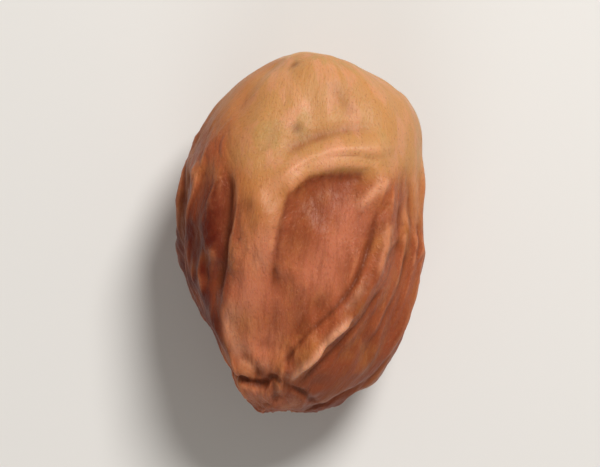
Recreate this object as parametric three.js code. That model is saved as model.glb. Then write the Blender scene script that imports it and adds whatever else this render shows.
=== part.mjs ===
// A dried date, lying on its flattest side. Millimetres, +Z up, the stem end towards +Y.
// It is one closed surface: an oval body, pressed flat in places by its neighbours, with the folds,
// furrows and dents of the shrunken skin raised from it by a formula.

import * as THREE from 'three';
import { ImprovedNoise } from 'three/addons/math/ImprovedNoise.js';

// Driving dimensions of the whole fruit
const LENGTH = 31.3;
const WIDTH = 21.7;
const THICKNESS = 19.6;

// How square each flank is between the two ends: 2 is an ellipse, more is fuller
const LEFT_SQUARENESS = 2.1;
const RIGHT_SQUARENESS = 3.1;

// The body before its skin shrinks: a little larger than the fruit, for what the dents take away
const BODY_LENGTH = LENGTH + 1.0;
const BODY_WIDTH = WIDTH - 0.2;
const BODY_THICKNESS = THICKNESS + 0.5;
const BODY_SHIFT = 0.25;

// Where the two ends lie beside the middle of the body
const STEM_OFFSET = { x: 1.45, z: 0.2 };
const TIP_OFFSET = { x: -1.35, z: -1.1 };

// The flat spot that it rests on: how far the underside is pressed up, and how soft its rim is
const REST_DEPTH = 0.45;
const REST_RIM = 0.25;

// Facets of the surface: round the body, closer together on top, and from tip to stem, closer at the stem
const COLUMNS = 84;
const ROWS = 66;
const TOP_CROWDING = 0.3;
const STEM_CROWDING = 0.2;

const FOLD_STEPS = 24;

// How far the folds fade out before the very ends
const POLE_CALM = 0.6;

const { clamp, degToRad, lerp, smoothstep } = THREE.MathUtils;

// The oval body. along runs from -1 at the tip to 1 at the stem; around is 0 on top, 90 degrees on the right.
function bodyPoint(along, around) {
  const rightness = (1 + Math.sin(around)) / 2;
  const squareness = lerp(LEFT_SQUARENESS, RIGHT_SQUARENESS, rightness);
  const girth = Math.sqrt(Math.max(0, 1 - Math.abs(along) ** squareness));
  const stemShare = (along + 1) / 2;
  return new THREE.Vector3(
    lerp(TIP_OFFSET.x, STEM_OFFSET.x, stemShare) + (BODY_WIDTH / 2) * girth * Math.sin(around),
    BODY_SHIFT + (BODY_LENGTH / 2) * along,
    lerp(TIP_OFFSET.z, STEM_OFFSET.z, stemShare) + (BODY_THICKNESS / 2) * girth * Math.cos(around),
  );
}

function alongAt(y) {
  return clamp((y - BODY_SHIFT) / (BODY_LENGTH / 2), -1, 1);
}

// Which way the skin faces at a point of the body
function outward(point) {
  return new THREE.Vector3(
    point.x / WIDTH ** 2,
    point.y / LENGTH ** 2,
    point.z / THICKNESS ** 2,
  ).normalize();
}

// A place on the skin, by degrees round from the top and millimetres towards the stem
function place(degrees, y) {
  return pressed(bodyPoint(alongAt(y), degToRad(degrees)));
}

// A place on the upper side, by its position as seen from above
function seen(x, y) {
  const along = alongAt(y);
  const right = bodyPoint(along, Math.PI / 2).x;
  const left = bodyPoint(along, -Math.PI / 2).x;
  const across = clamp((2 * x - right - left) / (right - left), -1, 1);
  return pressed(bodyPoint(along, Math.asin(across)));
}

// Flats where it was pressed: the way each faces, how far it lies from the middle, and how soft its rim is
const PRESSES = [
  { facing: [-0.9, -0.43, 0.05], distance: 9.8, softness: 0.5 },
  { facing: [-0.84, -0.54, -0.1], distance: 10.8, softness: 0.5 },
  { facing: [-0.6, 0.8, 0.1], distance: 12.8, softness: 1.2 },
  { facing: [0.5, 0.87, 0.1], distance: 14.2, softness: 1.5 },
  { facing: [0.1, 0.25, 1], distance: 9.0, softness: 0.8 },
  { facing: [-0.25, -0.35, 1], distance: 9.3, softness: 0.8 },
  { facing: [-0.8, -0.05, 0.6], distance: 9.7, softness: 0.5 },
  { facing: [0.8, -0.1, 0.6], distance: 9.7, softness: 0.6 },
  { facing: [0.75, 0.2, -0.7], distance: 9.3, softness: 0.9 },
  { facing: [-0.8, 0.25, -0.65], distance: 9.0, softness: 0.9 },
  { facing: [0.3, 0.95, -0.35], distance: 13.6, softness: 1.0 },
];

for (const press of PRESSES) {
  press.facing = new THREE.Vector3(...press.facing).normalize();
}

function pressed(point) {
  for (const { facing, distance, softness } of PRESSES) {
    const excess = point.dot(facing) - distance;
    if (excess > 0) {
      point.addScaledVector(facing, softness * (1 - Math.exp(-excess / softness)) - excess);
    }
  }
  return point;
}

// Folds stand up and furrows sink in, each along a curve on the skin. Its width is half its own breadth.
function fold(height, width, ...route) {
  return { height, width, path: new THREE.CatmullRomCurve3(route).getPoints(FOLD_STEPS) };
}

const FOLDS = [
  // The roll that crosses the fruit below its smooth shoulder, and the crease above it
  fold(
    0.6,
    0.9,
    seen(-2.6, 2.8),
    seen(-1.2, 4.5),
    seen(0.8, 6.1),
    seen(3.2, 7.1),
    seen(6.6, 7.2),
    seen(9.4, 7.9),
  ),
  fold(-0.22, 0.55, seen(-1.6, 6.9), seen(1.2, 8.3), seen(4.0, 8.9), seen(8.2, 9.2)),
  // The broad left side of the sunken panel
  fold(0.5, 1.5, seen(-3.6, 6.0), seen(-3.3, 0.5), seen(-4.2, -4.0), seen(-5.4, -8.8)),
  // The long crest on its right, which runs down to the tip, with a short rib and a furrow inside it
  fold(
    0.7,
    0.75,
    seen(8.4, 5.8),
    seen(7.6, 1.2),
    seen(6.6, -3.2),
    seen(5.2, -5.8),
    seen(3.0, -8.5),
    seen(0.6, -11),
    seen(-1.4, -13.1),
  ),
  fold(0.35, 0.6, seen(7.4, 5.4), seen(6.5, 3.4), seen(5.4, 1.2)),
  fold(-0.4, 0.55, seen(6.7, 3.0), seen(5.9, -1.1), seen(4.7, -3.9), seen(1.7, -7.2), seen(-1.4, -10.6)),
  // The right flank
  fold(-0.4, 0.6, seen(9.3, 5.0), seen(9.0, 0.5), seen(8.3, -4.2), seen(6.2, -8.4), seen(3.6, -11.4)),
  fold(0.55, 0.8, place(80, 8), place(76, 2), place(80, -4), place(70, -9), place(58, -12.6)),
  fold(-0.35, 0.6, place(96, 5), place(92, -1), place(95, -7)),
  // The left flank, dark and drawn in beside the panel
  fold(-0.45, 0.65, seen(-5.9, 6.4), seen(-5.9, 1.8), seen(-6.5, -2.5), seen(-7.3, -6.0)),
  fold(0.5, 0.7, seen(-7.3, -4.6), seen(-6.5, -8.2), seen(-5.2, -11.0), seen(-4.2, -12.8)),
  fold(0.55, 0.85, place(-60, 8), place(-64, 2), place(-74, -5), place(-70, -9)),
  fold(0.55, 0.8, place(-88, 9), place(-84, 2), place(-96, -5), place(-90, -11)),
  fold(-0.4, 0.6, place(-74, 6), place(-78, -1), place(-85, -7)),
  // The crease that sets off the puckered tip, and the pinches in it
  fold(-0.5, 0.5, seen(-6.4, -10.6), seen(-4.6, -12.4), seen(-2.4, -12.2), seen(-0.2, -13.2)),
  fold(-0.55, 0.55, seen(-4.6, -10.2), seen(-3.2, -12.4), seen(-2.6, -14.2)),
  fold(-0.55, 0.5, seen(-0.2, -11.9), seen(-0.7, -13.4), seen(-1.4, -14.8)),
  fold(-0.35, 0.6, place(70, -12.5), place(60, -14.4), place(20, -15.4)),
  fold(-0.45, 0.6, place(130, -11), place(130, -13.6), place(120, -15.2)),
  fold(-0.45, 0.6, place(-120, -10.5), place(-118, -13.5), place(-110, -15.2)),
  fold(-0.35, 0.6, place(178, -11), place(176, -14), place(170, -15.3)),
  // The underside
  fold(0.5, 0.9, place(112, 8), place(118, 1), place(110, -6), place(116, -11)),
  fold(-0.35, 0.6, place(136, 10), place(130, 4), place(134, -3)),
  fold(0.4, 0.8, place(150, -4), place(146, -8), place(152, -12)),
  fold(0.5, 0.9, place(-122, 9), place(-128, 2), place(-120, -6), place(-126, -11)),
  fold(-0.35, 0.6, place(-110, 6), place(-108, 0), place(-106, -8)),
  fold(0.35, 0.8, place(-146, 11), place(-142, 5), place(-148, -9)),
  fold(0.4, 0.8, place(-160, 11), place(170, 9.5), place(150, 9)),
  // Soft puckers that run out from the stem scar
  fold(-0.25, 0.8, place(-40, 15.2), place(-44, 13), place(-48, 9.5)),
  fold(-0.2, 0.8, place(20, 15.3), place(24, 13.4), place(20, 10.5)),
  fold(-0.25, 0.8, place(85, 15.2), place(88, 13), place(90, 10)),
  fold(-0.3, 0.8, place(150, 15.2), place(152, 13), place(150, 10.5)),
  fold(-0.3, 0.8, place(-105, 15.2), place(-106, 13), place(-100, 9.5)),
];

function foldHeight(point, { path, height, width }) {
  const nearest = new THREE.Vector3();
  const segment = new THREE.Line3();
  let least = Infinity;
  let share = 0;
  for (let i = 0; i < FOLD_STEPS; i += 1) {
    segment.set(path[i], path[i + 1]);
    const t = segment.closestPointToPointParameter(point, true);
    const distance = segment.at(t, nearest).distanceTo(point);
    if (distance < least) {
      least = distance;
      share = (i + t) / FOLD_STEPS;
    }
  }
  const fade = smoothstep(share, 0, 0.25) * (1 - smoothstep(share, 0.75, 1));
  const calm = 1 - smoothstep(Math.abs(point.y), LENGTH / 2 - POLE_CALM, LENGTH / 2);
  return height * fade * calm * Math.exp(-((least / width) ** 2));
}

// Broad dents: where the skin has sunk over the flesh
const DENTS = [
  { centre: place(95, 3), radius: 5, depth: 0.5 },
  { centre: place(-70, -1), radius: 4.5, depth: 0.55 },
  { centre: place(55, -8), radius: 4, depth: 0.4 },
  { centre: place(-115, 3), radius: 5, depth: 0.5 },
  { centre: place(125, -6), radius: 4.5, depth: 0.5 },
  { centre: place(-135, -8), radius: 4, depth: 0.45 },
  { centre: place(-25, 12), radius: 3.5, depth: 0.25 },
  { centre: place(60, 12.5), radius: 3, depth: 0.3 },
];

function dentDepth(point, { centre, radius, depth }) {
  return depth * Math.exp(-((point.distanceTo(centre) / radius) ** 2));
}

// The sunken panel on the upper side, by its corners as seen from above
const PANEL = [
  [-1.4, 2.2],
  [-0.6, 3.6],
  [1.8, 5.3],
  [6.3, 6.0],
  [6.6, 2.9],
  [5.8, -1.1],
  [4.7, -3.9],
  [-1.2, -11.2],
  [-4.4, -10.6],
].map(([x, y]) => new THREE.Vector2(x, y));
const PANEL_DEPTH = 0.85;
const PANEL_SLOPE = 1.3;

function panelDepth(point) {
  if (point.z < 0) {
    return 0;
  }
  const spot = new THREE.Vector2(point.x, point.y);
  let inside = Infinity;
  PANEL.forEach((corner, i) => {
    const edge = PANEL[(i + 1) % PANEL.length].clone().sub(corner);
    inside = Math.min(inside, spot.clone().sub(corner).cross(edge) / edge.length());
  });
  return PANEL_DEPTH * smoothstep(inside, -0.3, PANEL_SLOPE);
}

// The stem scar: a dished ring with a small slot in it, where the stalk came away
const SCAR = { dish: 3.6, depth: 0.8, slotLength: 1.7, slotWidth: 0.95, slotDepth: 1.6, slotFloor: 0.45 };

function scarDepth(point) {
  if (point.y < 0) {
    return 0;
  }
  const x = point.x - STEM_OFFSET.x;
  const z = point.z - STEM_OFFSET.z;
  const dish = SCAR.depth * Math.exp(-((Math.hypot(x, z) / SCAR.dish) ** 2));
  const slotShare = Math.hypot(x / SCAR.slotLength, z / SCAR.slotWidth);
  const slot = SCAR.slotDepth * (1 - smoothstep(slotShare, SCAR.slotFloor, 1));
  return dish + slot;
}

// The tip is drawn in a little round its point
const TIP = { dish: 2.0, depth: 0.55 };

function tipDepth(point) {
  if (point.y > 0) {
    return 0;
  }
  const distance = Math.hypot(point.x - TIP_OFFSET.x, point.z - TIP_OFFSET.z);
  return TIP.depth * Math.exp(-((distance / TIP.dish) ** 2));
}

// Shallow wrinkles all over, drawn out along the fruit, deeper towards the tip
const WRINKLE = { across: 2.6, along: 7.5, stemHeight: 0.08, tipHeight: 0.4 };
const WRINKLE_SEED = 4.7;
const noise = new ImprovedNoise();

function wrinkleHeight(point) {
  const sway = 1.5 * noise.noise(point.x / 6, point.y / 6, point.z / 6 + WRINKLE_SEED);
  const value = noise.noise(
    (point.x + sway) / WRINKLE.across,
    point.y / WRINKLE.along + WRINKLE_SEED,
    (point.z + sway) / WRINKLE.across,
  );
  const crest = 1 - 2 * Math.abs(value);
  const height = lerp(WRINKLE.tipHeight, WRINKLE.stemHeight, smoothstep(point.y, -4, 8));
  return height * (crest - 0.5);
}

function skinPoint(along, around) {
  const point = pressed(bodyPoint(along, around));
  const facing = outward(point);
  let height = wrinkleHeight(point) - panelDepth(point) - scarDepth(point) - tipDepth(point);
  for (const fold of FOLDS) {
    height += foldHeight(point, fold);
  }
  for (const dent of DENTS) {
    height -= dentDepth(point, dent);
  }
  return point.addScaledVector(facing, height);
}

// Below the rest plane the skin is flat, with a soft rim
function restingHeight(z) {
  const floor = REST_DEPTH - THICKNESS / 2;
  const above = z - floor;
  if (above > REST_RIM) {
    return z;
  }
  return above < -REST_RIM ? floor : floor + (above + REST_RIM) ** 2 / (4 * REST_RIM);
}

function skinGeometry() {
  const positions = [];
  const addPoint = (along, around) => {
    const point = skinPoint(along, around);
    positions.push(point.x, point.y, restingHeight(point.z));
  };
  addPoint(-1, 0);
  for (let row = 1; row < ROWS; row += 1) {
    const share = row / ROWS;
    const along = -Math.cos(Math.PI * share * (1 + STEM_CROWDING * (1 - share)));
    for (let column = 0; column < COLUMNS; column += 1) {
      const turn = (column / COLUMNS) * 2 * Math.PI;
      addPoint(along, turn - TOP_CROWDING * Math.sin(turn));
    }
  }
  addPoint(1, 0);

  const stem = positions.length / 3 - 1;
  const ring = (row, column) => 1 + (row - 1) * COLUMNS + (column % COLUMNS);
  const triangles = [];
  for (let column = 0; column < COLUMNS; column += 1) {
    triangles.push(0, ring(1, column + 1), ring(1, column));
    triangles.push(stem, ring(ROWS - 1, column), ring(ROWS - 1, column + 1));
    for (let row = 1; row < ROWS - 1; row += 1) {
      const here = ring(row, column);
      const beside = ring(row, column + 1);
      const above = ring(row + 1, column);
      const across = ring(row + 1, column + 1);
      triangles.push(here, beside, across, here, across, above);
    }
  }

  const geometry = new THREE.BufferGeometry();
  geometry.setAttribute('position', new THREE.Float32BufferAttribute(positions, 3));
  geometry.setIndex(triangles);
  return geometry;
}

// The finished skin is brought to its true size and stood on z = 0, over the middle of its box
function toSize(geometry) {
  geometry.computeBoundingBox();
  const size = geometry.boundingBox.getSize(new THREE.Vector3());
  geometry.scale(WIDTH / size.x, LENGTH / size.y, THICKNESS / size.z);
  geometry.computeBoundingBox();
  const middle = geometry.boundingBox.getCenter(new THREE.Vector3());
  geometry.translate(-middle.x, -middle.y, -geometry.boundingBox.min.z);
  return geometry;
}

const date = new THREE.Mesh(
  toSize(skinGeometry()),
  new THREE.MeshStandardMaterial({ color: 0xa6613e, roughness: 0.45, metalness: 0 }),
);
date.name = 'date';

const group = new THREE.Group();
group.add(date);

export default group;
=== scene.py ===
import math

import bpy
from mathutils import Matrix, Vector, geometry, kdtree, noise
from mathutils.bvhtree import BVHTree


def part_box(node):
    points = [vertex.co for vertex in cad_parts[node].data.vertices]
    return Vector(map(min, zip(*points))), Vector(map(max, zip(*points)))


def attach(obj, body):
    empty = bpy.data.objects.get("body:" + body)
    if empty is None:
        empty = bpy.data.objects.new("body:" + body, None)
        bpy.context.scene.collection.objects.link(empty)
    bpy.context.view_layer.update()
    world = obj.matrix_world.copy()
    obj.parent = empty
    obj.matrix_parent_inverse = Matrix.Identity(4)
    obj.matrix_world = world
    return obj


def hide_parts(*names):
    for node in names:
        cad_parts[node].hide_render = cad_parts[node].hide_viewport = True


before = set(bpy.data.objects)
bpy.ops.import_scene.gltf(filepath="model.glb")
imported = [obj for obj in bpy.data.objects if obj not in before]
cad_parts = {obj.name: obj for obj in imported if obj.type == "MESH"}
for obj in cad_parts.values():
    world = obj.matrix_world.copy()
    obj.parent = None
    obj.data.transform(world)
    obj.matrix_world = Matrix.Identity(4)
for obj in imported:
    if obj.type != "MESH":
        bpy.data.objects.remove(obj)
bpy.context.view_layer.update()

# The date lies on a pale matt table and is seen from straight above, its stem end at the top.
# One soft light stands beyond its stem end, to the right, and a weaker one before its tip.
VIEW_HEIGHT = 0.30
VIEW_FIELD = 0.0405
VIEW_START = 0.01
FRAME_WIDTH, FRAME_HEIGHT = 600, 467
SENSOR = 36.0
TABLE_SIZE = 3.0
TABLE_COLOUR = (0.68, 0.655, 0.62, 1)
TABLE_ROUGHNESS = 0.85
SKY_COLOUR = (1.0, 0.96, 0.90, 1)
SKY_STRENGTH = 0.23
low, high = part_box("date")
centre = (low + high) / 2

bpy.ops.object.select_all(action="DESELECT")
bpy.ops.object.camera_add(location=(centre.x, centre.y, VIEW_HEIGHT), rotation=(0, 0, 0))
camera = bpy.context.object
camera.name = "view_camera"
camera.data.sensor_width = SENSOR
field_width = VIEW_FIELD * FRAME_WIDTH / FRAME_HEIGHT
camera.data.lens = SENSOR * (VIEW_HEIGHT - centre.z) / field_width
camera.data.clip_start = VIEW_START
bpy.context.scene.camera = camera
bpy.context.scene.view_settings.view_transform = "Standard"

bpy.ops.mesh.primitive_plane_add(size=TABLE_SIZE, location=(0, 0, 0))
table = bpy.context.object
table.name = "table"
table_paint = bpy.data.materials.new("pale_table")
table_paint.use_nodes = True
table_finish = table_paint.node_tree.nodes["Principled BSDF"]
table_finish.inputs["Base Color"].default_value = TABLE_COLOUR
table_finish.inputs["Roughness"].default_value = TABLE_ROUGHNESS
table.data.materials.append(table_paint)


def soft_light(name, place, size, power):
    bpy.ops.object.light_add(type="AREA", location=place)
    lamp = bpy.context.object
    lamp.name = name
    lamp.data.shape = "DISK"
    lamp.data.size = size
    lamp.data.energy = power
    lamp.rotation_euler = (centre - Vector(place)).to_track_quat("-Z", "Y").to_euler()


soft_light("key_light", (0.14, 0.24, 0.36), 0.15, 2.2)
soft_light("fill_light", (-0.06, -0.36, 0.26), 0.30, 0.45)

sky = bpy.data.worlds.new("studio")
sky.use_nodes = True
sky.node_tree.nodes["Background"].inputs["Color"].default_value = SKY_COLOUR
sky.node_tree.nodes["Background"].inputs["Strength"].default_value = SKY_STRENGTH
bpy.context.scene.world = sky

# The date is one fruit, dried whole: skin grown on to the flesh, which has shrunk and drawn it into folds.
# Its form is the solid's own, merged, smoothed and divided fine enough to carry the creases of the skin.
MM = 0.001
MERGE_REACH = 0.002 * MM
QUAD_LIMIT = math.radians(60)
SKIN_LEVELS = 2

bpy.ops.object.select_all(action="DESELECT")
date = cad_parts["date"].copy()
date.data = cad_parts["date"].data.copy()
date.parent = None
date.name = "date_skin"
for key in list(date.keys()):
    del date[key]
bpy.context.scene.collection.objects.link(date)
bpy.context.view_layer.objects.active = date
date.select_set(True)
bpy.ops.object.mode_set(mode="EDIT")
bpy.ops.mesh.select_all(action="SELECT")
bpy.ops.mesh.remove_doubles(threshold=MERGE_REACH)
bpy.ops.mesh.tris_convert_to_quads(face_threshold=QUAD_LIMIT, shape_threshold=QUAD_LIMIT)
bpy.ops.object.mode_set(mode="OBJECT")
smooth = date.modifiers.new("smooth_skin", "SUBSURF")
smooth.levels = SKIN_LEVELS
smooth.render_levels = SKIN_LEVELS
bpy.ops.object.modifier_apply(modifier=smooth.name)
date.data.materials.clear()
for group in list(date.vertex_groups):
    date.vertex_groups.remove(group)
skin = date.data
for polygon in skin.polygons:
    polygon.use_smooth = True

# The folds of the skin are traced on the solid, each through a few places in millimetres. They are found
# from above, by degrees round the fruit and the distance along it, or round the middle of the tip's end.
TIP_X, TIP_Z = -1.35, -1.1
STEM_X, STEM_Z = 1.45, 0.2
OUTSIDE = 0.05
LINE_STEPS = 14
STEP_REACH = 0.5 * MM
LINE_REACH = 3
END_FADE = 0.2
FADE_MIDDLE, FADE_SPREAD, FADE_PATCH = 0.85, 0.5, 2.4 * MM
surface = BVHTree.FromObject(date, bpy.context.evaluated_depsgraph_get())


def above(x, y):
    hit = surface.ray_cast(Vector((x * MM, y * MM, 2 * high.z)), Vector((0, 0, -1)))[0]
    return hit if hit else Vector((x * MM, y * MM, centre.z))


def around(degrees, y):
    turn = math.radians(degrees)
    way = Vector((math.sin(turn), 0, math.cos(turn)))
    axis = Vector((0, y * MM, centre.z))
    hit = surface.ray_cast(axis + way * OUTSIDE, -way)[0]
    return hit if hit else axis


def tip_end(degrees, reach):
    turn = math.radians(degrees)
    x = (TIP_X + reach * math.cos(turn)) * MM
    z = centre.z + (TIP_Z + reach * math.sin(turn)) * MM
    hit = surface.ray_cast(Vector((x, -OUTSIDE, z)), Vector((0, 1, 0)))[0]
    return hit if hit else Vector((x, low.y, z))


def smooth_line(places):
    line = []
    ends = [places[0]] + places + [places[-1]]
    for a, b, c, d in zip(ends, ends[1:], ends[2:], ends[3:]):
        for step in range(LINE_STEPS):
            t = step / LINE_STEPS
            line.append(0.5 * (2 * b + (c - a) * t + (2 * a - 5 * b + 4 * c - d) * t**2
                               + (3 * b - a - 3 * c + d) * t**3))
    line.append(places[-1])
    return line


def unevenness(spot, size, shift=(0, 0, 0)):
    return noise.noise(spot / size + Vector(shift))


# A line on the skin: how high or how strong it is, half its breadth, and its places
class Line:
    def __init__(self, height, breadth, find, *places):
        self.height = height
        self.breadth = breadth
        self.points = smooth_line([find(*place) for place in places])
        self.last = len(self.points) - 1
        self.tree = kdtree.KDTree(len(self.points))
        for index, point in enumerate(self.points):
            self.tree.insert(point, index)
        self.tree.balance()

    def at(self, point):
        _, index, distance = self.tree.find(point)
        if distance > LINE_REACH * self.breadth * MM + STEP_REACH:
            return 0.0
        for start in (max(index - 1, 0), min(index, self.last - 1)):
            foot, share = geometry.intersect_point_line(point, self.points[start], self.points[start + 1])
            if 0 <= share <= 1:
                distance = min(distance, (point - foot).length)
        share = index / self.last
        fade = min(1, share / END_FADE, (1 - share) / END_FADE)
        fade *= FADE_MIDDLE + FADE_SPREAD * unevenness(point, FADE_PATCH)
        return fade * math.exp(-((distance / MM / self.breadth) ** 2))


FOLDS = [
    # The crest and the lip of the roll over the sunken panel, and the line that they hang over
    Line(0.12, 0.45, above, (-2.2, 2.6), (-1.4, 4.5), (0.6, 6.1), (3.4, 7.0), (6.6, 6.9), (9.2, 7.7)),
    Line(0.34, 0.6, above, (-1.3, 1.8), (-0.8, 3.6), (0.3, 4.8), (1.9, 5.5), (3.7, 5.8), (5.7, 5.7),
         (7.4, 5.2)),
    Line(-0.1, 0.4, above, (-1.0, 1.8), (-0.4, 3.2), (0.7, 4.1), (2.5, 4.6), (4.4, 4.6), (6.2, 4.2)),
    # Soft creases and ridges of the shoulder above it
    Line(-0.04, 0.45, above, (-1.2, 6.7), (0.6, 7.5), (2.4, 8.2), (4.4, 8.6)),
    Line(0.06, 0.5, above, (-1.6, 14.0), (-0.4, 12.0), (0.6, 10.2)),
    Line(-0.08, 0.6, above, (2.8, 13.0), (3.6, 11.4), (4.6, 9.8)),
    Line(-0.07, 0.35, above, (-3.9, 6.4), (-2.6, 7.6), (-1.9, 9.4)),
    # The left edge of the panel, the edge of the broad side beyond it, and the furrow past that
    Line(-0.18, 0.42, above, (-0.7, 3.8), (-1.1, 1.9), (-1.7, -0.8), (-2.0, -3.5), (-2.1, -5.4)),
    Line(0.14, 0.4, above, (-5.2, 5.4), (-5.3, 0.6), (-5.9, -3.4), (-6.5, -7.4), (-5.6, -10.6)),
    Line(-0.2, 0.55, above, (-5.9, 6.4), (-6.0, 1.4), (-6.6, -2.6), (-7.2, -6.4), (-6.2, -10.2),
         (-5.0, -12.6)),
    # The long crest at its right, down to the tip, with the furrows on both sides of it and two short ribs
    Line(0.2, 0.36, above, (8.2, 5.0), (7.7, 1.2), (7.0, -2.6), (5.8, -4.8)),
    Line(-0.12, 0.5, above, (6.7, -3.0), (5.3, -5.0), (4.0, -6.6)),
    Line(0.46, 0.26, above, (4.6, -7.0), (3.1, -8.5), (0.6, -11.2), (-2.0, -13.8)),
    Line(-0.24, 0.3, above, (6.8, 3.0), (6.1, -0.4), (5.0, -3.6), (3.2, -6.1), (1.2, -8.0), (-1.0, -10.6),
         (-1.9, -12.2)),
    Line(-0.28, 0.32, above, (7.4, -4.0), (5.9, -6.5), (3.8, -9.1), (1.4, -11.6), (-0.3, -13.3)),
    Line(0.13, 0.5, above, (7.6, 4.6), (6.4, 3.5), (4.9, 2.1)),
    Line(0.1, 0.24, above, (5.6, -3.8), (4.9, -5.2), (3.8, -6.6)),
    # The right flank as seen from above
    Line(-0.2, 0.34, above, (9.6, 4.2), (9.4, 0.2), (8.8, -3.8), (7.4, -7.2), (5.8, -9.6)),
    Line(0.12, 0.34, above, (9.9, 2.6), (9.8, -1.6), (9.0, -5.6), (7.6, -8.8)),
    # The tip, where the skin is pinched
    Line(-0.5, 0.4, above, (-6.4, -10.2), (-5.0, -12.3), (-3.3, -12.9), (-2.2, -12.3), (-1.4, -12.9)),
    Line(-0.27, 0.36, above, (-2.4, -12.3), (-2.1, -13.4), (-2.0, -14.6)),
    Line(-0.36, 0.34, above, (-1.8, -13.1), (0.0, -13.5), (1.6, -14.6)),
    # Puckers round the end of the tip
    Line(-0.42, 0.34, tip_end, (8, 0.7), (14, 2.2), (4, 4.4)),
    Line(0.3, 0.5, tip_end, (-22, 0.9), (-18, 2.8), (-28, 5.0)),
    Line(-0.46, 0.36, tip_end, (-52, 0.7), (-60, 2.6), (-54, 4.8)),
    Line(0.32, 0.5, tip_end, (-84, 0.9), (-80, 2.6), (-90, 4.6)),
    Line(-0.42, 0.34, tip_end, (-118, 0.7), (-110, 2.4), (-122, 5.2)),
    Line(0.3, 0.5, tip_end, (-150, 0.9), (-146, 2.8), (-154, 5.0)),
    Line(-0.44, 0.34, tip_end, (-176, 0.7), (-184, 2.2), (-178, 4.6)),
    Line(0.28, 0.46, tip_end, (152, 0.9), (158, 2.4), (150, 4.0)),
    Line(-0.34, 0.3, tip_end, (34, 1.2), (40, 2.6), (30, 4.6)),
    # The sides and the underside
    Line(0.2, 0.4, around, (-82, 9), (-80, 3), (-88, -3), (-84, -9)),
    Line(-0.24, 0.34, around, (-96, 7), (-98, 1), (-104, -5), (-96, -11)),
    Line(0.2, 0.38, around, (-122, 10), (-118, 4), (-126, -2), (-120, -10)),
    Line(-0.22, 0.34, around, (-146, 9), (-140, 2), (-146, -6)),
    Line(0.22, 0.4, around, (84, 8), (78, 2), (82, -5), (74, -11)),
    Line(-0.22, 0.32, around, (98, 6), (94, 0), (99, -6), (92, -11)),
    Line(0.18, 0.36, around, (118, 10), (112, 3), (119, -4), (112, -10)),
    Line(-0.22, 0.34, around, (138, 8), (134, 0), (141, -8)),
]

# The skin is paler along its crests, partly rubbed pale and partly painted highlight: the lip of the roll
# and the side of it that runs down beside the panel, the long crest, the ribs, the edge and the lobes near
# the tip, the right flank, the shoulder
WORN_AND_HIGHLIGHT = [
    Line(0.62, 0.65, above, (-2.9, 2.2), (-2.0, 3.9), (-0.6, 5.0), (0.9, 5.8), (2.6, 6.5), (4.6, 6.9),
         (6.8, 7.0), (8.8, 7.4)),
    Line(0.7, 0.7, above, (-3.2, 2.2), (-2.2, 3.9), (-0.7, 5.0), (0.8, 5.7)),
    Line(0.4, 0.7, above, (-1.7, 3.9), (-2.0, 1.8), (-2.6, -0.6), (-3.1, -3.2)),
    Line(0.25, 0.5, above, (-3.0, 1.4), (-3.2, -0.8), (-3.8, -3.6)),
    Line(0.5, 0.45, above, (7.7, 1.0), (7.4, -1.4), (6.9, -3.6)),
    Line(1.5, 0.3, above, (4.6, -7.0), (3.1, -8.5), (0.6, -11.2), (-2.0, -13.8)),
    Line(0.65, 0.5, above, (7.7, 4.7), (6.4, 3.5), (4.8, 2.0)),
    Line(0.6, 0.3, above, (5.6, -4.3), (4.9, -5.3), (4.0, -6.6)),
    Line(0.7, 0.8, above, (-5.8, -5.2), (-6.0, -7.4), (-5.4, -9.2), (-4.4, -10.8)),
    Line(0.6, 0.6, above, (-5.2, -10.6), (-3.8, -11.3), (-2.4, -11.0)),
    Line(0.2, 0.8, above, (-4.5, -13.5), (-3.5, -14.2), (-2.5, -14.4)),
    Line(0.5, 0.4, above, (-1.8, -15.1), (-0.8, -14.8), (0.2, -14.3)),
    Line(0.5, 0.4, above, (9.0, 5.2), (8.9, 2.6), (8.7, 0.2)),
    Line(0.5, 0.5, above, (9.9, 5.4), (10.1, 3.0), (10.0, 0.6)),
    Line(0.6, 0.6, above, (-1.6, 14.0), (-0.5, 12.2), (0.7, 10.0)),
]
# Along the long crest the wrinkles are low and the skin is more even in colour
CREST_STRIP = Line(1.0, 1.3, above, (7.2, 0.4), (6.6, -3.0), (4.6, -6.2), (2.2, -9.0), (-0.6, -12.2),
                   (-2.2, -14.0))
# Small dark blemishes, each a place and how far it reaches. The last is the scar in the middle of the tip.
tip_scar = tip_end(0, 0)
BLEMISHES = [
    (above(-0.2, 9.1), 0.55),
    (above(-0.3, 14.5), 0.40),
    (above(-4.4, 2.3), 0.60),
    (around(96, 9.5), 0.45),
    (around(-112, 11.0), 0.60),
    (around(160, 10.2), 0.50),
    (tip_scar, 0.50),
]


def clamp(value):
    return max(0.0, min(1.0, value))


def ease(value, start, end):
    t = clamp((value - start) / (end - start))
    return t * t * (3 - 2 * t)


def near(point, place, reach):
    return math.exp(-(((point - place).length / MM / reach) ** 2))


# The smooth golden shoulder round the stem end stops at an edge. Each entry is degrees round from the top,
# the edge's place along the fruit and how softly the shoulder ends there, in millimetres.
EDGE_SWAY, EDGE_PATCH = 0.7, 2.4
SHOULDER_EDGE = (
    (-180, 7.5, 3.0),
    (-125, 8.5, 2.5),
    (-80, 10.0, 2.5),
    (-48, 9.2, 2.5),
    (-34, 4.6, 4.0),
    (-22, 0.4, 5.0),
    (-15, 0.8, 3.0),
    (-9, 1.4, 1.8),
    (-5, 3.4, 0.5),
    (2, 4.6, 0.4),
    (12, 4.9, 0.4),
    (25, 5.0, 0.6),
    (36, 4.7, 0.9),
    (48, 4.3, 1.3),
    (58, 4.6, 2.5),
    (75, 2.6, 3.5),
    (105, 4.6, 3.0),
    (145, 7.2, 3.0),
    (180, 7.5, 3.0),
)


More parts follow.
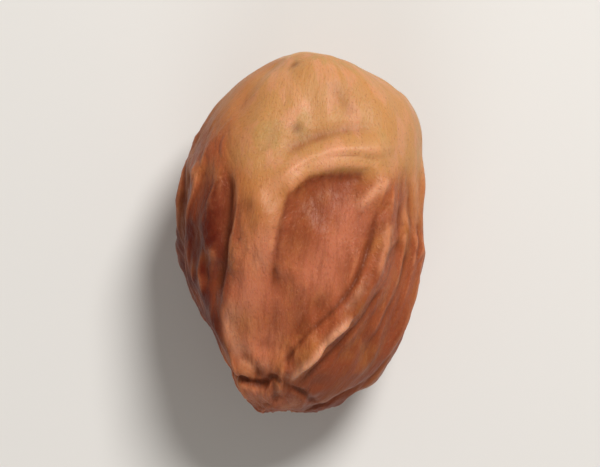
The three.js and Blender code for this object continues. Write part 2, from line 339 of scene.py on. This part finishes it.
def shoulder_share(degrees, y):
    for (start, y_start, soft_start), (end, y_end, soft_end) in zip(SHOULDER_EDGE, SHOULDER_EDGE[1:]):
        if degrees <= end:
            share = ease(degrees, start, end)
            edge = y_start + (y_end - y_start) * share
            soft = soft_start + (soft_end - soft_start) * share
            return ease(y, edge - soft, edge + soft)
    return 0.0


# The relief of the skin between its folds: a net of ridges that runs lengthwise, long wrinkles and fine
# ones, which all wander a little. It is faint on the shoulder, low in the sunken panel, past the long
# crest and close to both ends, deep on the flanks, and fades out towards the flat spot underneath.
HALF_LENGTH = 15.65
GRAIN_RADIUS = 9.0
END_GRAIN, END_REACH, SIDE_REACH = 1.6, 1.5, 6.0
SWAY, SWAY_SIZE = 0.9, 5
SWAY_SHIFTS = ((0, 0, 0), (31, 7, 3), (5, 17, 29))
PANEL_REACH = 3.4
CREST_X, CREST_Y, CREST_SLANT = 6.8, -3.0, 0.82
STEM_FADE, TIP_FADE, FLAT_FADE = (0.6, 4.5), (0.6, 3.4), (0.05, 1.2)
SHOULDER_CALM, PANEL_CALM, SLOPE_CALM, CREST_CALM = 0.88, 0.75, 0.85, 0.7
FINE_SHOULDER_CALM, FINE_PANEL_CALM, FINE_TIP_CALM = 0.9, 0.65, 0.4
NET_HEIGHT, NET_BREADTH, NET_SIZE, NET_PATCH = 0.26, 0.16, (3.0, 8.0), 4
LONG_HEIGHT, LONG_SIZE = 0.29, (1.3, 4.5)
FINE_HEIGHT, FINE_SIZE = 0.14, (0.62, 1.9)
WRINKLE_MIDDLE = 0.2
CRINKLE_HEIGHT, CRINKLE_SIZE, CRINKLE_PATCH = 0.08, 0.5, 2.4
SWELL_HEIGHT, SWELL_SIZE = 0.12, 2.7
SCAR_RIM_HEIGHT, SCAR_RIM_REACH, SCAR_RIM_BREADTH = 0.22, 0.95, 0.4
SCAR_PIT_DEPTH, SCAR_PIT_REACH = 0.34, 0.6
BLEMISH_DEPTH = 0.08
FURROW_SHADE = -3.2
CREAM_REACH, CREAM_SOFT, CREAM_SWAY = 3.6, 2.6, 1.6
SLOT_LENGTH, SLOT_WIDTH = 1.7, 0.95
MARKS = ("gold", "furrow", "worn_and_highlight", "blemish", "cream", "slot", "dark", "pink", "honey")
panel_hearts = [above(2.6, 3.0), above(1.6, -1.6), above(-0.6, -6.2), above(-3.4, -7.8)]


def past_crest(x, y):
    return x - CREST_X - CREST_SLANT * (y - CREST_Y)


def drawn_out(grain, width, length, shift=(0, 0, 0)):
    return Vector((grain.x / width, grain.y / length, grain.z / width)) + Vector(shift)


heights = []
grains = []
marks = {name: [] for name in MARKS}
for vertex in skin.vertices:
    place = vertex.co
    spot = (place - centre) / MM
    x, y, z = spot
    degrees = math.degrees(math.atan2(x, z))
    along = clamp(0.5 + y / (2 * HALF_LENGTH))
    off_x = x - TIP_X - (STEM_X - TIP_X) * along
    off_z = z - TIP_Z - (STEM_Z - TIP_Z) * along
    rim = math.hypot(off_x, off_z)

    shoulder = shoulder_share(degrees, y + EDGE_SWAY * unevenness(spot, EDGE_PATCH))
    panel = min(1, sum(near(place, heart, PANEL_REACH) for heart in panel_hearts))
    slope = ease(past_crest(x, y), 0.3, 2.0) * ease(-y, 0, 5) * ease(z, -1, 3)
    calm = ease(rim, *(STEM_FADE if y > 0 else TIP_FADE)) * ease(place.z / MM, *FLAT_FADE)
    rough = (1 - SHOULDER_CALM * shoulder) * (1 - PANEL_CALM * panel) * (1 - SLOPE_CALM * slope)
    rough *= 1 - CREST_CALM * clamp(CREST_STRIP.at(place))
    fine = (1 - FINE_SHOULDER_CALM * shoulder) * (1 - FINE_PANEL_CALM * max(panel, slope))
    fine *= 1 - FINE_TIP_CALM * ease(-y, 12, 15)

    sway = SWAY * Vector([unevenness(spot, SWAY_SIZE, shift) for shift in SWAY_SHIFTS])
    radius = max(rim, 1e-6)
    wrapped = Vector((GRAIN_RADIUS * off_x / radius, y, GRAIN_RADIUS * off_z / radius))
    flat = Vector((END_GRAIN * off_x, y, END_GRAIN * off_z))
    grain = flat.lerp(wrapped, ease(rim, END_REACH, SIDE_REACH)) + sway

    cells = noise.voronoi(drawn_out(grain, *NET_SIZE))[0]
    presence = ease(unevenness(spot, NET_PATCH, (7, 3, 1)), -0.35, 0.35)
    net = presence * math.exp(-(((cells[1] - cells[0]) / NET_BREADTH) ** 2))
    long_wrinkle = abs(noise.noise(drawn_out(grain, *LONG_SIZE, (3, 1, 9))))
    fine_wrinkle = abs(noise.noise(drawn_out(grain, *FINE_SIZE, (4, 8, 2))))
    crinkle = abs(unevenness(spot, CRINKLE_SIZE, (5, 2, 8)))
    crinkle *= ease(unevenness(spot, CRINKLE_PATCH), -0.2, 0.4)
    height = calm * rough * (NET_HEIGHT * net + LONG_HEIGHT * (long_wrinkle - WRINKLE_MIDDLE))
    height += calm * fine * (FINE_HEIGHT * (fine_wrinkle - WRINKLE_MIDDLE) + CRINKLE_HEIGHT * crinkle)
    height += calm * SWELL_HEIGHT * shoulder * unevenness(spot, SWELL_SIZE, (1, 9, 4))

    scar = (place - tip_scar).length / MM
    height += (SCAR_RIM_HEIGHT * math.exp(-(((scar - SCAR_RIM_REACH) / SCAR_RIM_BREADTH) ** 2))
               - SCAR_PIT_DEPTH * math.exp(-((scar / SCAR_PIT_REACH) ** 2)))
    folded = [fold.height * fold.at(place) for fold in FOLDS]
    height += max(0.0, max(folded)) + min(0.0, min(folded))
    blemish = max(near(place + sway * 0.5 * MM, middle, reach) for middle, reach in BLEMISHES)
    height -= BLEMISH_DEPTH * blemish

    heights.append(height)
    grains.append(grain)
    marks["gold"].append(shoulder)
    # Painted shade in the furrows of the folds, darker where they sink deeper
    marks["furrow"].append(clamp(FURROW_SHADE * min(folded)))
    # Paler along the crests: partly rubbed pale, partly painted highlight
    marks["worn_and_highlight"].append(max(line.height * line.at(place) for line in WORN_AND_HIGHLIGHT))
    marks["blemish"].append(blemish)
    cream = ease(CREAM_REACH - rim + CREAM_SWAY * unevenness(spot, 1.6), 0, CREAM_SOFT)
    marks["cream"].append(cream * ease(y, 11, 13.5))
    slot = 1 - ease(math.hypot(off_x / SLOT_LENGTH, off_z / SLOT_WIDTH), 0.45, 0.95)
    marks["slot"].append(slot * ease(y, 8, 11))

normals = [vertex.normal.copy() for vertex in skin.vertices]
for vertex, normal, height in zip(skin.vertices, normals, heights):
    vertex.co += normal * height * MM

# The folded skin keeps to the size of the fruit
corner_low = Vector(min(v.co[axis] for v in skin.vertices) for axis in range(3))
corner_high = Vector(max(v.co[axis] for v in skin.vertices) for axis in range(3))
for vertex in skin.vertices:
    for axis in range(3):
        share = (vertex.co[axis] - corner_low[axis]) / (corner_high[axis] - corner_low[axis])
        vertex.co[axis] = low[axis] + share * (high[axis] - low[axis])

# How far each place stands above the skin close round it or lies below it, and the same farther round it.
# The long crest keeps its colour even, so little of the narrow relief is kept beside it.
NARROW_TURNS = 24
BROAD_TURNS = 260
EVEN_SHARE = 0.5
CREST_EVEN = 0.8


def proud(turns):
    twin = date.copy()
    twin.data = skin.copy()
    bpy.context.scene.collection.objects.link(twin)
    bpy.ops.object.select_all(action="DESELECT")
    bpy.context.view_layer.objects.active = twin
    even = twin.modifiers.new("even_out", "SMOOTH")
    even.factor = EVEN_SHARE
    even.iterations = turns
    bpy.ops.object.modifier_apply(modifier=even.name)
    evened = [vertex.co.copy() for vertex in twin.data.vertices]
    bpy.data.objects.remove(twin)
    return [(v.co - place).dot(v.normal) / MM for v, place in zip(skin.vertices, evened)]


marks["narrow_relief"] = [value * (1 - CREST_EVEN * clamp(CREST_STRIP.at(v.co)))
                          for value, v in zip(proud(NARROW_TURNS), skin.vertices)]
marks["broad_relief"] = proud(BROAD_TURNS)

# The skin is darker on the left flank, partly with painted shadow, past the long crest, at the tip and
# underneath, and painted shade darkens a few hollows. It is pinker where the panel, its left side and the
# tip bulge, partly with painted light, and honey-coloured on the left of the shoulder and along its edge.
PATCH_SIZE = 2.6
FLANK_EDGE, FLANK_SLANT, FLANK_TOP, FLANK_SWAY = -5.4, 0.085, 4.0, 0.8
FLANK_SHADE, FLANK_SPREAD = 0.85, 0.6
TIP_SHADE, TIP_SHADE_RIGHT = 0.4, 0.3
SLOPE_SHADE = 0.36
UNDER_SHADE, UNDER_SPREAD = 0.45, 0.5
HONEY_SWAY, HONEY_TOP, HONEY_DEPTH = 12, 6.5, 3
# Painted shade in a few hollows, each a place, how far it reaches and how strong
SHADES = [
    (above(1.3, 2.0), 1.8, 0.38),
    (above(3.3, 3.7), 1.5, 0.3),
    (above(0.3, 0.0), 1.4, 0.2),
    (above(4.9, -6.1), 1.1, 0.4),
    (above(6.1, 0.4), 1.0, 0.25),
    (above(7.9, 1.8), 0.9, 0.25),
]
# Pinker places, partly the skin's own colour and partly painted light on the bulges and the lobes of the
# tip
PINK_PLACES = [
    (above(4.5, 1.5), 1.8),
    (above(3.1, -1.2), 1.6),
    (above(1.7, -3.4), 2.0),
    (above(-3.4, -1.0), 2.0),
    (above(-4.0, -5.0), 2.4),
    (above(-3.0, -9.4), 1.8),
    (above(-3.6, -14.0), 1.5),
    (above(-1.0, -14.6), 1.2),
]
for vertex, shoulder in zip(skin.vertices, marks["gold"]):
    spot = (vertex.co - centre) / MM
    x, y, z = spot
    degrees = math.degrees(math.atan2(x, z))
    patch = unevenness(spot, PATCH_SIZE)
    # The left flank is dark partly in the skin's own colour and partly with painted shadow
    edge = FLANK_EDGE - FLANK_SLANT * (FLANK_TOP - y) + FLANK_SWAY * patch
    side = max(ease(edge - x, -0.4, 0.7), ease(-z, 0, 3) * ease(-x, 0, 2))
    flank = side * ease(degrees, -150, -110) * ease(6.5 + 3 * patch - y, 0, 6)
    flank *= FLANK_SHADE + FLANK_SPREAD * unevenness(spot, 1.7, (2, 6, 4))
    tip = ease(-y + 1.5 * patch, 12.6, 15.4) * (TIP_SHADE + TIP_SHADE_RIGHT * ease(x, -1.6, 1.4))
    slope = SLOPE_SHADE * ease(past_crest(x, y), 0.3, 1.6) * ease(-y, 3, 9) * ease(z, -3, 1)
    under = (UNDER_SHADE + UNDER_SPREAD * patch) * ease(abs(degrees), 110, 150) * ease(8 - y, 0, 8)
    hollow = max(share * near(vertex.co, place, reach) for place, reach, share in SHADES)
    pink = sum(near(vertex.co, place, reach) for place, reach in PINK_PLACES)
    honey = ease(-degrees + HONEY_SWAY * patch, 20, 44) * ease(degrees, -170, -120)
    honey += ease(HONEY_TOP - y, 0, HONEY_DEPTH)
    marks["dark"].append(clamp(max(flank, tip, slope, under, hollow)) * (1 - shoulder))
    marks["pink"].append(clamp(pink))
    marks["honey"].append(clamp(honey))

for name, values in marks.items():
    layer = skin.attributes.new(name, "FLOAT", "POINT")
    layer.data.foreach_set("value", values)
grain_layer = skin.attributes.new("grain", "FLOAT_VECTOR", "POINT")
for entry, grain in zip(grain_layer.data, grains):
    entry.vector = grain

# The finish of the skin is waxy, half glossy and a little translucent. It is golden on the shoulder and
# brown elsewhere, paler where it is rubbed, with painted highlight where it stands proud and painted shade
# where it is sunk, and finely speckled.
# Its pores and finest creases are too small for the mesh and only tilt the light.
GOLD = (0.48, 0.226, 0.078, 1)
STRAW = (0.43, 0.235, 0.080, 1)
PEACH = (0.54, 0.245, 0.110, 1)
HONEY = (0.44, 0.155, 0.042, 1)
RUSSET = (0.33, 0.080, 0.028, 1)
UMBER = (0.22, 0.050, 0.017, 1)
ROSE = (0.50, 0.158, 0.082, 1)
BARK = (0.13, 0.028, 0.010, 1)
MAHOGANY = (0.10, 0.008, 0.003, 1)
SLOT_BROWN = (0.035, 0.010, 0.005, 1)
PALE = (0.68, 0.31, 0.17, 1)
AMBER = (0.58, 0.215, 0.095, 1)
CREAM = (0.80, 0.50, 0.25, 1)
GLOSSY = (0.34, 0.34, 0.34, 1)
SATIN = (0.46, 0.46, 0.46, 1)
GOLD_SATIN = (0.44, 0.44, 0.44, 1)
DARK_SATIN = (0.50, 0.50, 0.50, 1)

finish = bpy.data.materials.new("date_skin")
finish.use_nodes = True
nodes = finish.node_tree.nodes
links = finish.node_tree.links
shader = nodes["Principled BSDF"]
grain_reading = nodes.new("ShaderNodeAttribute")
grain_reading.attribute_name = "grain"


def amount(name):
    node = nodes.new("ShaderNodeAttribute")
    node.attribute_name = name
    return node.outputs["Fac"]


def ramp(value, start, end, first=0.0, last=1.0):
    node = nodes.new("ShaderNodeMapRange")
    node.interpolation_type = "SMOOTHSTEP"
    node.inputs["From Min"].default_value = start
    node.inputs["From Max"].default_value = end
    node.inputs["To Min"].default_value = first
    node.inputs["To Max"].default_value = last
    links.new(value, node.inputs["Value"])
    return node.outputs["Result"]


def grain_noise(width, length, detail, shift=0.0):
    stretch = nodes.new("ShaderNodeMapping")
    stretch.inputs["Scale"].default_value = (1 / width, 1 / length, 1 / width)
    stretch.inputs["Location"].default_value = (shift, shift, shift)
    links.new(grain_reading.outputs["Vector"], stretch.inputs["Vector"])
    node = nodes.new("ShaderNodeTexNoise")
    node.inputs["Scale"].default_value = 1.0
    node.inputs["Detail"].default_value = detail
    links.new(stretch.outputs["Vector"], node.inputs["Vector"])
    return node.outputs["Fac"]


def times(a, b):
    node = nodes.new("ShaderNodeMath")
    node.operation = "MULTIPLY"
    for value, socket in ((a, node.inputs[0]), (b, node.inputs[1])):
        if isinstance(value, float):
            socket.default_value = value
        else:
            links.new(value, socket)
    return node.outputs["Value"]


def blend(below, over, share):
    node = nodes.new("ShaderNodeMix")
    node.data_type = "RGBA"
    for value, name in ((below, "A_Color"), (over, "B_Color")):
        socket = next(s for s in node.inputs if s.identifier == name)
        if isinstance(value, tuple):
            socket.default_value = value
        else:
            links.new(value, socket)
    links.new(share, next(s for s in node.inputs if s.identifier == "Factor_Float"))
    return next(s for s in node.outputs if s.identifier == "Result_Color")


def bump(height, strength, depth):
    node = nodes.new("ShaderNodeBump")
    node.inputs["Strength"].default_value = strength
    node.inputs["Distance"].default_value = depth * MM
    links.new(height, node.inputs["Height"])
    return node


mottle = grain_noise(2.4, 4.0, 3.0)
patches = grain_noise(1.5, 3.2, 2.0, 7.3)
streaks = grain_noise(0.45, 3.6, 3.0, 2.1)
flecks = grain_noise(0.30, 0.36, 1.0, 4.4)
specks = grain_noise(0.15, 0.24, 2.0, 8.8)
narrow = amount("narrow_relief")
broad = amount("broad_relief")
gold = amount("gold")
dark = amount("dark")

brown = blend(RUSSET, HONEY, ramp(mottle, 0.42, 0.72, 0.0, 0.8))
brown = blend(brown, UMBER, ramp(patches, 0.50, 0.30, 0.0, 0.6))
# Pinker on the bulges, partly own colour and partly painted light
brown = blend(brown, ROSE, times(amount("pink"), 0.85))
brown = blend(brown, UMBER, ramp(streaks, 0.50, 0.36, 0.0, 0.3))
# Painted highlight: the ridges of the narrow relief are lighter
brown = blend(brown, AMBER, ramp(narrow, 0.02, 0.09, 0.0, 0.5))
golden = blend(GOLD, PEACH, ramp(patches, 0.46, 0.62))
# Painted highlight on the ridges of the shoulder
golden = blend(golden, PALE, ramp(narrow, 0.02, 0.09, 0.0, 0.4))
golden = blend(golden, STRAW, ramp(mottle, 0.44, 0.32, 0.0, 0.8))
golden = blend(golden, HONEY, times(amount("honey"), 0.75))
golden = blend(golden, CREAM, times(amount("cream"), 0.85))
colour = blend(brown, golden, gold)
# Paler along the crests, partly rubbed pale and partly painted highlight
colour = blend(colour, PALE, times(amount("worn_and_highlight"), ramp(patches, 0.34, 0.62, 0.5, 0.95)))
colour = blend(colour, UMBER, ramp(specks, 0.44, 0.30, 0.0, 0.3))
colour = blend(colour, AMBER, ramp(specks, 0.57, 0.70, 0.0, 0.25))
# The dark share: own dark colour, painted shadow on the left flank and painted shade in hollows; thinner on
# ridges as painted highlight
colour = blend(colour, MAHOGANY, times(dark, ramp(narrow, 0.01, 0.10, 0.96, 0.7)))
# Painted shade in the hollows of the broad relief and in the creases of the narrow relief
colour = blend(colour, UMBER, ramp(broad, 0.05, -0.30, 0.0, 0.6))
colour = blend(colour, UMBER, ramp(narrow, -0.012, -0.08, 0.0, 0.75))
# Painted shade darkens the furrows of the folds
colour = blend(colour, BARK, times(amount("furrow"), 0.75))
colour = blend(colour, BARK, times(amount("blemish"), 0.5))
colour = blend(colour, SLOT_BROWN, amount("slot"))
colour = blend(colour, UMBER, ramp(flecks, 0.27, 0.21, 0.0, 0.5))
links.new(colour, shader.inputs["Base Color"])

roughness = blend(GLOSSY, SATIN, ramp(grain_noise(0.7, 1.3, 3.0, 5.2), 0.35, 0.65))
roughness = blend(roughness, GOLD_SATIN, times(gold, 0.7))
roughness = blend(roughness, DARK_SATIN, times(dark, 0.7))
links.new(roughness, shader.inputs["Roughness"])

creased = ramp(grain_noise(0.24, 0.6, 2.0, 6.6), 0.40, 0.52)
pores = bump(grain_noise(0.26, 0.4, 3.0, 9.1), strength=0.42, depth=0.06)
creases = bump(times(creased, ramp(gold, 0.0, 1.0, 1.0, 0.6)), strength=0.38, depth=0.07)
links.new(pores.outputs["Normal"], creases.inputs["Normal"])
links.new(creases.outputs["Normal"], shader.inputs["Normal"])

shader.inputs["IOR"].default_value = 1.40
shader.inputs["Specular IOR Level"].default_value = 0.28
shader.inputs["Specular Tint"].default_value = (1.0, 0.86, 0.74, 1)
shader.inputs["Subsurface Weight"].default_value = 0.3
shader.inputs["Subsurface Radius"].default_value = (1.0, 0.35, 0.12)
shader.inputs["Subsurface Scale"].default_value = 0.8 * MM
skin.materials.append(finish)

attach(date, "root")
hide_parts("date")
